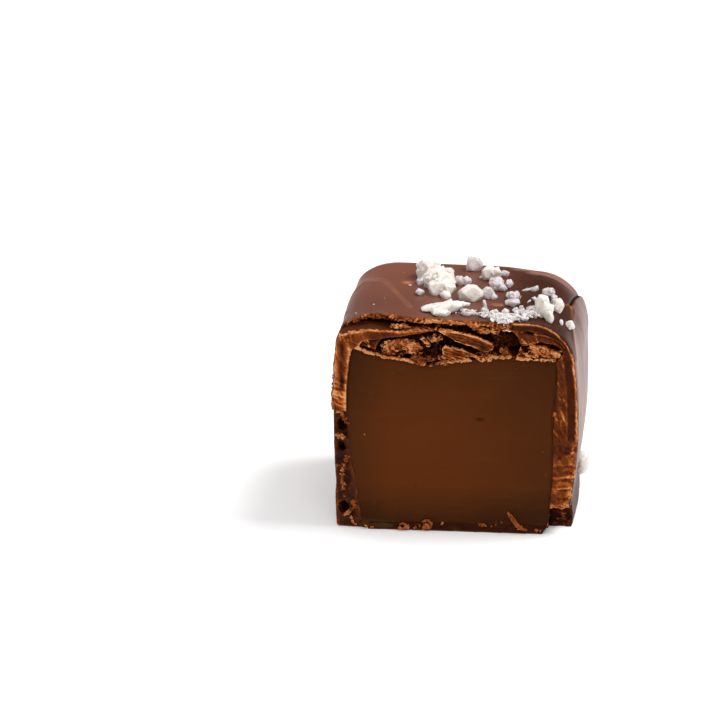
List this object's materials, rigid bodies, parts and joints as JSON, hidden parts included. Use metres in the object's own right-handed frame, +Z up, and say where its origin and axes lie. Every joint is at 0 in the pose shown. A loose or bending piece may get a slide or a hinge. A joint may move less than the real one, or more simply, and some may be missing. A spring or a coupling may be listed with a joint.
{
  "type": "cut chocolate caramel",
  "caption": "Half of a salted caramel in a milk chocolate coating, cut across, with a flaky broken edge over the caramel and coarse salt on top.",
  "frame": {"origin": "the middle of the flat underside", "axes": "+Z up, +X to the right of the cut face, -Y out of the cut face"},
  "size_m": [0.0241, 0.02, 0.0235],
  "materials": {
    "coating": "satin milk chocolate, lighter and matt where it is broken",
    "caramel": "smooth, slightly translucent cut caramel",
    "salt": "white and cloudy clear salt crystals"
  },
  "bodies": {
    "root": {"coating": "coating", "caramel": "caramel"}
  },
  "joints": []
}
